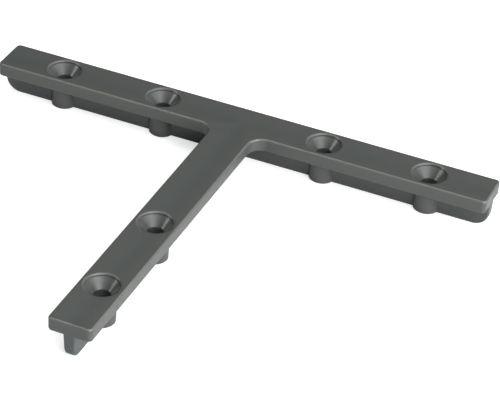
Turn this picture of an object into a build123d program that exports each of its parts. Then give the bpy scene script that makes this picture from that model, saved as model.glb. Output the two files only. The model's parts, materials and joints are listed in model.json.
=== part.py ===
from build123d import *
from math import radians, tan
import os

# Frame connector: a moulded plastic T that joins two framing members at a right angle.
# A flat T plate carries one T-shaped rib and six screw bosses on its underside. The crossbar
# runs along X, the stem along -Y, and +Z is up. The origin is on the resting plane, below the
# middle of the outline. Sizes are in millimetres and degrees.

# Plate
arm_width = 14.0
bar_length = 167.0
stem_reach = 119.0  # from the crossbar's centre line to the stem's end
plate_thickness = 4.3
outer_corner_radius = 1.5
inner_corner_radius = 4.5
plate_draft = 1.0
top_edge_round = 0.6
underside_edge_break = 0.2  # across the underside
underside_edge_rise = 0.4  # and up the sides

# Rib under the plate
rib_height = 8.2
rib_root_width = 3.8
rib_end_step = 0.03  # behind the plate's own ends, at its underside
rib_overlap = 0.5  # up into the plate, past its edge break
rib_draft = 2.5
rib_junction_radius = 1.0
bar_rib_run_out = 5.0  # quarter round at each end of the crossbar's rib
stem_rib_corner = 3.5  # and a smaller one at the stem's end
rib_edge_round = 0.6

# Screw holes and the bosses below them
hole_pitch = 35.0
hole_end_margin = 20.75
screw_hole_diameter = 5.2
head_recess_diameter = 10.6
head_recess_land = 0.8  # straight wall above the cone
countersink_angle = 90.0
rim_break = 0.35
boss_diameter = 8.7
boss_draft = 1.0
boss_foot_break = 0.25

# Heights above the resting plane, and where the crossbar and the stem's end lie along Y
plate_underside = rib_height
plate_top = plate_underside + plate_thickness
rib_top = plate_underside + rib_overlap
bar_y = (stem_reach - arm_width / 2) / 2
stem_end_y = bar_y - stem_reach
rib_end_inset = plate_thickness * tan(radians(plate_draft)) + rib_end_step

# Two holes in each arm, at one pitch and one distance from the arm's end
outer_hole_x = bar_length / 2 - hole_end_margin
outer_hole_y = stem_end_y + hole_end_margin
hole_centres = []
for step in range(2):
    inward = step * hole_pitch
    hole_centres.append((-outer_hole_x + inward, bar_y))
    hole_centres.append((outer_hole_x - inward, bar_y))
    hole_centres.append((0, outer_hole_y + inward))


def tee(width, end_inset, inner_radius):
    """Draws a T of one width, with its inner corners rounded and its ends pulled back."""
    with BuildSketch(mode=Mode.PRIVATE) as outline:
        with Locations((0, bar_y)):
            Rectangle(bar_length - 2 * end_inset, width)
            Rectangle(width, stem_reach - end_inset, align=(Align.CENTER, Align.MAX))
        front_corners = outline.vertices().group_by(Axis.Y)[1].sort_by(Axis.X)
        fillet(front_corners[1:3], inner_radius)
    return outline.sketch


# Flat plate, drafted from its top face down
with BuildPart() as plate:
    with BuildSketch(Plane.XY.offset(plate_top)) as plate_outline:
        add(tee(arm_width, 0, inner_corner_radius))
        corners_by_x = plate_outline.vertices().group_by(Axis.X)
        stem_corners = plate_outline.vertices().group_by(Axis.Y)[0]
        fillet(corners_by_x[0] + corners_by_x[-1] + stem_corners, outer_corner_radius)
    extrude(amount=-plate_thickness)
    plate_sides = plate.faces() - plate.faces().filter_by(Axis.Z)
    draft(plate_sides, Plane.XY.offset(plate_top), -plate_draft)
    fillet(plate.faces().sort_by(Axis.Z)[-1].edges(), top_edge_round)
    underside = plate.faces().sort_by(Axis.Z)[0]
    chamfer(underside.edges(), underside_edge_break, underside_edge_rise, reference=underside)

# Drafted rib along the middle of all three arms, with its lower end corners run out
with BuildPart() as rib:
    with BuildSketch(Plane.XY.offset(rib_top)):
        add(tee(rib_root_width, rib_end_inset, rib_junction_radius))
    extrude(amount=-rib_top)
    rib_sides = rib.faces() - rib.faces().filter_by(Axis.Z)
    draft(rib_sides, Plane.XY.offset(plate_underside), -rib_draft)
    bar_end_feet = rib.faces().sort_by(Axis.Z)[0].edges().filter_by(Axis.Y).sort_by(Axis.X)
    fillet([bar_end_feet[0], bar_end_feet[-1]], bar_rib_run_out)
    stem_end_foot = rib.faces().sort_by(Axis.Z)[0].edges().sort_by(Axis.Y)[0]
    fillet(stem_end_foot, stem_rib_corner)
    run_out_seams = rib.faces().filter_by(GeomType.CYLINDER).edges().filter_by(GeomType.LINE)
    below_root = rib.edges().filter_by_position(Axis.Z, 0, plate_underside - rib_edge_round)
    fillet(below_root - run_out_seams, rib_edge_round)

# Drafted bosses, flush with the rib's foot
with BuildPart() as bosses:
    with BuildSketch(Plane.XY.offset(plate_underside)):
        with Locations(*hole_centres):
            Circle(boss_diameter / 2)
    extrude(amount=-rib_height, taper=boss_draft)
    chamfer(bosses.edges().group_by(Axis.Z)[0], boss_foot_break)

# The one moulded piece: the three forms joined, then the six countersunk screw holes
with BuildPart() as frame_connector:
    add(plate.part)
    add(rib.part)
    add(bosses.part)
    cone_top = plate_top - head_recess_land
    with Locations(*[(x, y, cone_top) for x, y in hole_centres]):
        CounterSinkHole(screw_hole_diameter / 2, head_recess_diameter / 2,
                        counter_sink_angle=countersink_angle)
    rims = frame_connector.faces().sort_by(Axis.Z)[-1].inner_wires().edges()
    chamfer(rims, rim_break)

frame_connector.part.label = "frame_connector"
os.makedirs("parts", exist_ok=True)
export_step(frame_connector.part, "parts/frame_connector.step")
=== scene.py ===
import bmesh
import bpy
import json
from math import cos, pi, radians, sin
from mathutils import Matrix, Vector


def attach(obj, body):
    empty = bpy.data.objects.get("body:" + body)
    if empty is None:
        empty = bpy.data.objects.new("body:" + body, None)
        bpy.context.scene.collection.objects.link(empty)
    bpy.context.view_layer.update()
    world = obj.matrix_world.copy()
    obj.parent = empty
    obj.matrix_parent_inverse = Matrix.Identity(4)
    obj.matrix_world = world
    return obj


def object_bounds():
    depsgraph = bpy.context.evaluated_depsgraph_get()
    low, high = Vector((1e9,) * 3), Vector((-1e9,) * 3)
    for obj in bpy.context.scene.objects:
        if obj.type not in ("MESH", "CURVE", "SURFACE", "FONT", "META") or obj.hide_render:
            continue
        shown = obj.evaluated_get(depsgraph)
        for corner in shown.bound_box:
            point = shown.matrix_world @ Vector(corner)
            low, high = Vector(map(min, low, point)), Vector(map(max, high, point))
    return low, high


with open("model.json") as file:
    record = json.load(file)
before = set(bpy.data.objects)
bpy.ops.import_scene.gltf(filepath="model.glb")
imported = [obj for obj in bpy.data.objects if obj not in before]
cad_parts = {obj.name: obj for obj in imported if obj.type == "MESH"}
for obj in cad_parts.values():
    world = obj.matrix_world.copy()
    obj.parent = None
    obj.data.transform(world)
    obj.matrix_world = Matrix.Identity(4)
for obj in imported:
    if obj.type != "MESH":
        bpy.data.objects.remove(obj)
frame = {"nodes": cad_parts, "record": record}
cadLow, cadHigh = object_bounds()
print("packed frame connector loaded")

white = (1, 1, 1, 1)


def fromAngles(azimuth, elevation):
    # a level direction turns round from the front (-Y) towards +X, then lifts
    turn, lift = radians(azimuth), radians(elevation)
    return Vector((sin(turn) * cos(lift), -cos(turn) * cos(lift), sin(lift)))


# Camera where the photograph was taken from. Angles are in degrees
photoCamera = {
    "azimuth": 21.82,
    "elevation": 34.46,
    "roll": 3.67,
    "distance": 0.7606,  # metres from the aim
    "aim": (0.01634, 0.0254, 0.006),  # metres
    "lens": 180.07,  # mm
    "sensor": 36,  # mm
}


def makeCamera(values):
    back = fromAngles(values["azimuth"], values["elevation"])
    level = Vector((0, 0, 1)).cross(back).normalized()
    upright = back.cross(level)
    roll = radians(values["roll"])
    right = level * cos(roll) + upright * sin(roll)
    data = bpy.data.cameras.new("photoCamera")
    data.lens = values["lens"]
    data.sensor_width = values["sensor"]
    camera = bpy.data.objects.new("photoCamera", data)
    place = Vector(values["aim"]) + back * values["distance"]
    axes = Matrix((right, back.cross(right), back)).transposed().to_4x4()
    camera.matrix_world = Matrix.Translation(place) @ axes
    bpy.context.collection.objects.link(camera)
    bpy.context.scene.camera = camera


# White paper floor. Its glow is for the camera alone: it lights nothing, and stays out of the
# plastic's reflections
floorPaper = {
    "size": 12,  # metres
    "colour": (0.57, 0.585, 0.60, 1),
    "roughness": 0.9,
    "glow": 0.6,
}


def makeFloor(values):
    half = values["size"] / 2
    mesh = bpy.data.meshes.new("studioFloor")
    corners = [(-half, -half, 0), (half, -half, 0), (half, half, 0), (-half, half, 0)]
    mesh.from_pydata(corners, [], [(0, 1, 2, 3)])
    floor = bpy.data.objects.new("studioFloor", mesh)
    bpy.context.collection.objects.link(floor)
    material = bpy.data.materials.new("floorPaper")
    material.use_nodes = True
    tree = material.node_tree
    shader = tree.nodes["Principled BSDF"]
    shader.inputs["Base Color"].default_value = values["colour"]
    shader.inputs["Roughness"].default_value = values["roughness"]
    shader.inputs["Emission Color"].default_value = white
    seen = tree.nodes.new("ShaderNodeLightPath")
    glow = tree.nodes.new("ShaderNodeMath")
    glow.operation = "MULTIPLY"
    glow.inputs[1].default_value = values["glow"]
    tree.links.new(seen.outputs["Is Camera Ray"], glow.inputs[0])
    tree.links.new(glow.outputs[0], shader.inputs["Emission Strength"])
    mesh.materials.append(material)


# Soft boxes round the part, all facing it. mainBox and rightLowBox, on the right, give most
# of the light, and the others fill in. Lengths are in metres, and angles in degrees
studio = {
    "aim": (0, 0.02, 0.01),
    "distance": 1.2,
    "world": 0,  # no light but the boxes
    "tints": {"plain": (1, 1, 1), "warm": (1, 0.99, 0.9), "cool": (0.88, 0.97, 1)},
    "boxes": {
        # name: (azimuth, elevation, width, height, watts, tint)
        "mainBox": (60, 30, 1.0, 0.55, 14.4, "plain"),
        "mainStrip": (60, 40, 0.3, 0.9, 1.0, "plain"),
        "frontHighBox": (40, 54, 0.5, 0.42, 1.7, "plain"),
        "rightHighBox": (78, 54, 0.5, 0.42, 1.3, "plain"),
        "rightBox": (95, 34, 0.7, 0.5, 1.3, "plain"),
        "rightLowBox": (78, 9, 1.2, 0.36, 12.0, "plain"),
        "sideHighBox": (120, 54, 0.5, 0.42, 1.9, "cool"),
        "sideLowBox": (110, 12, 0.6, 0.36, 2.4, "cool"),
        "backBox": (155, 45, 0.55, 0.5, 2.0, "plain"),
        "overheadBox": (258, 72, 0.6, 0.5, 5.0, "warm"),
        "overheadRightBox": (90, 80, 0.4, 0.35, 1.8, "cool"),
        "frontTopBox": (20, 76, 0.24, 0.2, 1.2, "plain"),
        "frontLowBox": (20, 22, 0.6, 0.4, 2.2, "plain"),
        "frontBox": (0, 54, 0.5, 0.42, 0.5, "plain"),
        "leftStrip": (287, 36, 0.24, 0.5, 2.1, "plain"),
        "leftHighBox": (285, 50, 0.5, 0.42, 0.6, "plain"),
    },
}


def makeLights(values):
    aim = Vector(values["aim"])
    for name, (azimuth, elevation, width, height, watts, tint) in values["boxes"].items():
        towards = fromAngles(azimuth, elevation)
        data = bpy.data.lights.new(name, "AREA")
        data.shape = "RECTANGLE"
        data.size, data.size_y = width, height
        data.energy = watts
        data.color = values["tints"][tint]
        box = bpy.data.objects.new(name, data)
        box.location = aim + towards * values["distance"]
        box.rotation_euler = towards.to_track_quat("Z", "Y").to_euler()
        bpy.context.collection.objects.link(box)
    world = bpy.data.worlds.new("studioWorld")
    world.use_nodes = True
    background = world.node_tree.nodes["Background"]
    background.inputs["Color"].default_value = white
    background.inputs["Strength"].default_value = values["world"]
    bpy.context.scene.world = world


# Node helpers and the shared effects
metric, direction = "NodeSocketFloat", "NodeSocketVector"
noiseLow, noiseHigh = 0.3, 0.7  # nearly all of Blender's noise lies between these


def newGroup(name, inputs, output):
    tree = bpy.data.node_groups.new(name, "ShaderNodeTree")
    for title, kind in inputs.items():
        tree.interface.new_socket(title, in_out="INPUT", socket_type=kind)
    tree.interface.new_socket(output, in_out="OUTPUT", socket_type=metric)
    given = tree.nodes.new("NodeGroupInput").outputs
    result = tree.nodes.new("NodeGroupOutput").inputs[output]
    return tree, given, result


def feed(tree, socket, value):
    if isinstance(value, bpy.types.NodeSocket):
        tree.links.new(value, socket)
    else:
        socket.default_value = value


def addMath(tree, operation, *values):
    node = tree.nodes.new("ShaderNodeMath")
    node.operation = operation
    for socket, value in zip(node.inputs, values):
        feed(tree, socket, value)
    return node.outputs[0]


def addNoise(tree, vector, scale, detail):
    node = tree.nodes.new("ShaderNodeTexNoise")
    for name, value in (("Vector", vector), ("Scale", scale), ("Detail", detail)):
        feed(tree, node.inputs[name], value)
    return node.outputs["Fac"]


def addRange(tree, value, low, high, newLow, newHigh, kind="LINEAR"):
    node = tree.nodes.new("ShaderNodeMapRange")
    node.interpolation_type = kind
    for socket, given in zip(node.inputs, (value, low, high, newLow, newHigh)):
        feed(tree, socket, given)
    return node.outputs[0]


def addAxes(tree, vector):
    node = tree.nodes.new("ShaderNodeSeparateXYZ")
    tree.links.new(vector, node.inputs[0])
    return node.outputs


def addDistance(tree, start, end):
    node = tree.nodes.new("ShaderNodeVectorMath")
    node.operation = "DISTANCE"
    feed(tree, node.inputs[0], start)
    feed(tree, node.inputs[1], end)
    return node.outputs["Value"]


def addTint(tree, factor, start, end):
    node = tree.nodes.new("ShaderNodeMix")
    node.data_type = "RGBA"
    colours = [socket for socket in [*node.inputs, *node.outputs] if socket.type == "RGBA"]
    first, second, result = colours
    for socket, value in ((node.inputs["Factor"], factor), (first, start), (second, end)):
        feed(tree, socket, value)
    return result


def addGroup(tree, group, values):
    node = tree.nodes.new("ShaderNodeGroup")
    node.node_tree = group
    for name, value in values.items():
        feed(tree, node.inputs[name], value)
    return node.outputs[0]


def makeMouldGrain():
    # fine grain, and a looser ripple under it
    tree, given, result = newGroup("mouldGrain", {
        "Vector": direction, "Size": metric, "Depth": metric, "Detail": metric,
        "Ripple Rate": metric, "Ripple Share": metric, "Ripple Detail": metric}, "Height")
    grains = addMath(tree, "DIVIDE", 1, given["Size"])
    ripples = addMath(tree, "MULTIPLY", grains, given["Ripple Rate"])
    grain = addNoise(tree, given["Vector"], grains, given["Detail"])
    ripple = addNoise(tree, given["Vector"], ripples, given["Ripple Detail"])
    both = addMath(tree, "ADD", grain, addMath(tree, "MULTIPLY", ripple, given["Ripple Share"]))
    tree.links.new(addMath(tree, "MULTIPLY", both, given["Depth"]), result)
    return tree


def makeSoftDrift():
    # slow change from 0 to 1 over the surface
    tree, given, result = newGroup("softDrift", {
        "Vector": direction, "Size": metric, "Detail": metric}, "Mask")
    drifts = addMath(tree, "DIVIDE", 1, given["Size"])
    noise = addNoise(tree, given["Vector"], drifts, given["Detail"])
    tree.links.new(addRange(tree, noise, noiseLow, noiseHigh, 0, 1), result)
    return tree


def makeScrewSeat():
    # 1 within the radius of a screw's centre, 0 beyond its edge
    tree, given, result = newGroup("screwSeat", {
        "Vector": direction, "Centre": direction, "Radius": metric, "Edge": metric}, "Mask")
    away = addDistance(tree, given["Vector"], given["Centre"])
    outer = addMath(tree, "ADD", given["Radius"], given["Edge"])
    inside = addRange(tree, away, given["Radius"], outer, 1, 0, "SMOOTHSTEP")
    tree.links.new(inside, result)
    return tree


def makeRibLine():
    # 1 along the T of the rib, and fading to each side of it
    tree, given, result = newGroup("ribLine", {
        "Vector": direction, "Bar Line": metric, "Width": metric}, "Mask")
    axes = addAxes(tree, given["Vector"])
    pastBar = addMath(tree, "SUBTRACT", axes["Y"], given["Bar Line"])
    behindBar = addMath(tree, "MAXIMUM", pastBar, 0)
    fromStem = addMath(tree, "ADD", addMath(tree, "ABSOLUTE", axes["X"]), behindBar)
    nearest = addMath(tree, "MINIMUM", addMath(tree, "ABSOLUTE", pastBar), fromStem)
    widths = addMath(tree, "DIVIDE", nearest, given["Width"])
    fade = addMath(tree, "MULTIPLY", addMath(tree, "MULTIPLY", widths, widths), -1)
    tree.links.new(addMath(tree, "EXPONENT", fade), result)
    return tree


def makeRoundedEdge():
    # 1 where the surface turns over from the top face to a side, and up to 1 on a rim
    tree, given, result = newGroup("roundedEdge", {
        "Normal": direction, "Rim": metric, "Flat": metric, "Round": metric,
        "Side": metric, "Shoulder": metric}, "Mask")
    lift = addAxes(tree, given["Normal"])["Z"]
    offTop = addRange(tree, lift, given["Round"], given["Flat"], 1, 0, "SMOOTHSTEP")
    offSide = addRange(tree, lift, given["Side"], given["Shoulder"], 0, 1, "SMOOTHSTEP")
    edge = addMath(tree, "MAXIMUM", offTop, given["Rim"])
    tree.links.new(addMath(tree, "MULTIPLY", edge, offSide), result)
    return tree


# Dark grey moulded plastic, satin and finely grained. It is bluish along the rib and more
# olive beside it, and smoother in the screw seats. Its colour goes paler on rounded edges and
# hole rims, a painted highlight. It sinks a little over the rib. Lengths are in metres
mouldedPlastic = {
    "colour": (0.0530, 0.0580, 0.0575, 1),
    "oliveColour": (0.0590, 0.0610, 0.0540, 1),
    "oliveWidth": 0.006,  # from the rib's line out
    "driftSize": 0.03,
    "driftLeast": 0.6,  # of the bluish colour, where the drift is most olive
    "driftDetail": 2,  # of the patches too
    "roughness": 0.31,
    "patchRoughness": 0.37,
    "patchSize": 0.006,
    "seatRoughness": 0.24,
    "seatRadius": 0.0054,
    "seatEdge": 0.0001,
    "rimRadius": 0.0057,
    "rimEdge": 0.0003,
    "rimDepth": 0.00012,
    # painted highlight: a paler colour on rounded edges and hole rims, standing in for the light
    # they catch
    "paintedHighlightColour": (0.0800, 0.0825, 0.0765, 1),
    "rimHighlightShare": 0.6,  # of the pale colour, on the rims
    # how far up the surface faces, from 1 on the top face to 0 on a side
    "flatLift": 0.995,  # from here up it is the top face
    "roundLift": 0.95,  # from here down the edge is fully pale
    "shoulderLift": 0.4,  # and from here down less so
    "sideLift": 0.05,  # until it is a side
    "grainSize": 0.00035,
    "grainDepth": 0.000003,
    "grainDetail": 2,
    "rippleRate": 0.12,  # ripples to each grain
    "rippleShare": 2,  # times the grain's height
    "rippleDetail": 1,
    "sinkWidth": 0.0035,
    "sinkDepth": 0.0002,
}


def makeMouldedPlastic(values, seatCentres):
    mouldGrain, softDrift = makeMouldGrain(), makeSoftDrift()
    screwSeat, ribLine, roundedEdge = makeScrewSeat(), makeRibLine(), makeRoundedEdge()
    material = bpy.data.materials.new("mouldedPlastic")
    material.use_nodes = True
    tree = material.node_tree
    shader = tree.nodes["Principled BSDF"]
    surface = tree.nodes.new("ShaderNodeTexCoord").outputs
    where = surface["Object"]

    seats = rims = 0
    for centre in seatCentres:
        seat = addGroup(tree, screwSeat, {
            "Vector": where, "Centre": centre,
            "Radius": values["seatRadius"], "Edge": values["seatEdge"]})
        rim = addGroup(tree, screwSeat, {
            "Vector": where, "Centre": centre,
            "Radius": values["rimRadius"], "Edge": values["rimEdge"]})
        seats = addMath(tree, "MAXIMUM", seat, seats)
        rims = addMath(tree, "MAXIMUM", rim, rims)

    # bluish along the rib, olive beside it and in soft drifts, and a painted highlight on
    # rounded edges and rims
    alongRib = {"Vector": where, "Bar Line": seatCentres[0][1]}
    inner = addGroup(tree, ribLine, {**alongRib, "Width": values["oliveWidth"]})
    drift = addGroup(tree, softDrift, {
        "Vector": where, "Size": values["driftSize"], "Detail": values["driftDetail"]})
    blue = addMath(tree, "MULTIPLY", inner, addRange(tree, drift, 0, 1, values["driftLeast"], 1))
    tint = addTint(tree, blue, values["oliveColour"], values["colour"])
    edge = addGroup(tree, roundedEdge, {
        "Normal": surface["Normal"], "Rim": addMath(tree, "MULTIPLY", rims, values["rimHighlightShare"]),
        "Flat": values["flatLift"], "Round": values["roundLift"],
        "Side": values["sideLift"], "Shoulder": values["shoulderLift"]})
    # painted highlight: the colour goes paler on rounded edges and rims, but not in the seats
    paintedHighlight = addMath(tree, "MULTIPLY", edge, addMath(tree, "SUBTRACT", 1, seats))
    colour = addTint(tree, paintedHighlight, tint, values["paintedHighlightColour"])
    tree.links.new(colour, shader.inputs["Base Color"])

    # a little rougher in patches, and smooth in the seats
    patches = addGroup(tree, softDrift, {
        "Vector": where, "Size": values["patchSize"], "Detail": values["driftDetail"]})
    skin = addRange(tree, patches, 0, 1, values["roughness"], values["patchRoughness"])
    roughness = addRange(tree, seats, 0, 1, skin, values["seatRoughness"])
    tree.links.new(roughness, shader.inputs["Roughness"])

    # grain, less the sink over the rib and the rounding of the seats' rims
    height = addGroup(tree, mouldGrain, {
        "Vector": where, "Size": values["grainSize"], "Depth": values["grainDepth"],
        "Detail": values["grainDetail"], "Ripple Rate": values["rippleRate"],
        "Ripple Share": values["rippleShare"], "Ripple Detail": values["rippleDetail"]})
    sink = addGroup(tree, ribLine, {**alongRib, "Width": values["sinkWidth"]})
    for mask, depth in ((sink, values["sinkDepth"]), (rims, values["rimDepth"])):
        height = addMath(tree, "SUBTRACT", height, addMath(tree, "MULTIPLY", mask, depth))
    bump = tree.nodes.new("ShaderNodeBump")
    bump.inputs["Distance"].default_value = 1  # the height is in metres already
    tree.links.new(height, bump.inputs["Height"])
    tree.links.new(bump.outputs["Normal"], shader.inputs["Normal"])
    return material


# Plain ring on the end of the stem's rib, such as a mould gate leaves. Lengths are in metres
gateRing = {
    "offset": 0.0002,  # right of the stem's middle
    "height": 0.0039,
    "radius": 0.0005,
    "thickness": 0.0003,
    "proud": 0.00014,
    "ahead": 0.01,  # of the part, where the ray that finds the rib's end starts
    "steps": (36, 10),  # round the ring, and round its tube
}


def makeGateRing(values, carrier, material):
    start = Vector((values["offset"], cadLow[1] - values["ahead"], values["height"]))
    _, centre, outward, _ = carrier.ray_cast(start, Vector((0, 1, 0)))
    across = Vector((1, 0, 0))
    upward = outward.cross(across)
    tube = values["thickness"] / 2
    centre = centre + outward * (values["proud"] - tube)
    rounds, sides = values["steps"]
    mesh = bpy.data.meshes.new("gateRing")
    build = bmesh.new()
    loops = []
    for turn in range(rounds):
        angle = 2 * pi * turn / rounds
        spoke = across * cos(angle) + upward * sin(angle)
        loop = []
        for side in range(sides):
            corner = 2 * pi * side / sides
            reach = spoke * (values["radius"] + tube * cos(corner))
            loop.append(build.verts.new(centre + reach + outward * tube * sin(corner)))
        loops.append(loop)
    for turn in range(rounds):
        here, there = loops[turn], loops[(turn + 1) % rounds]
        for side in range(sides):
            after = (side + 1) % sides
            face = build.faces.new((here[side], there[side], there[after], here[after]))
            face.smooth = True
    bmesh.ops.recalc_face_normals(build, faces=build.faces)
    build.to_mesh(mesh)
    build.free()
    mesh.materials.append(material)
    ring = bpy.data.objects.new("gateRing", mesh)
    bpy.context.collection.objects.link(ring)
    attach(ring, "root")


makeCamera(photoCamera)
makeFloor(floorPaper)
makeLights(studio)
print("camera, floor and lamps made")

connector = frame["nodes"]["frame_connector"]
bores = [mount["pos_m"] for mount in frame["record"]["mounts"] if mount["kind"] == "bore"]
seatCentres = [(x, y, cadHigh[2]) for x, y, _ in bores]
plastic = makeMouldedPlastic(mouldedPlastic, seatCentres)
for place in connector.material_slots:
    place.material = plastic
print("moulded plastic given to the connector")
makeGateRing(gateRing, connector, plastic)
print("gate ring made")

bpy.context.scene.view_settings.view_transform = "Standard"
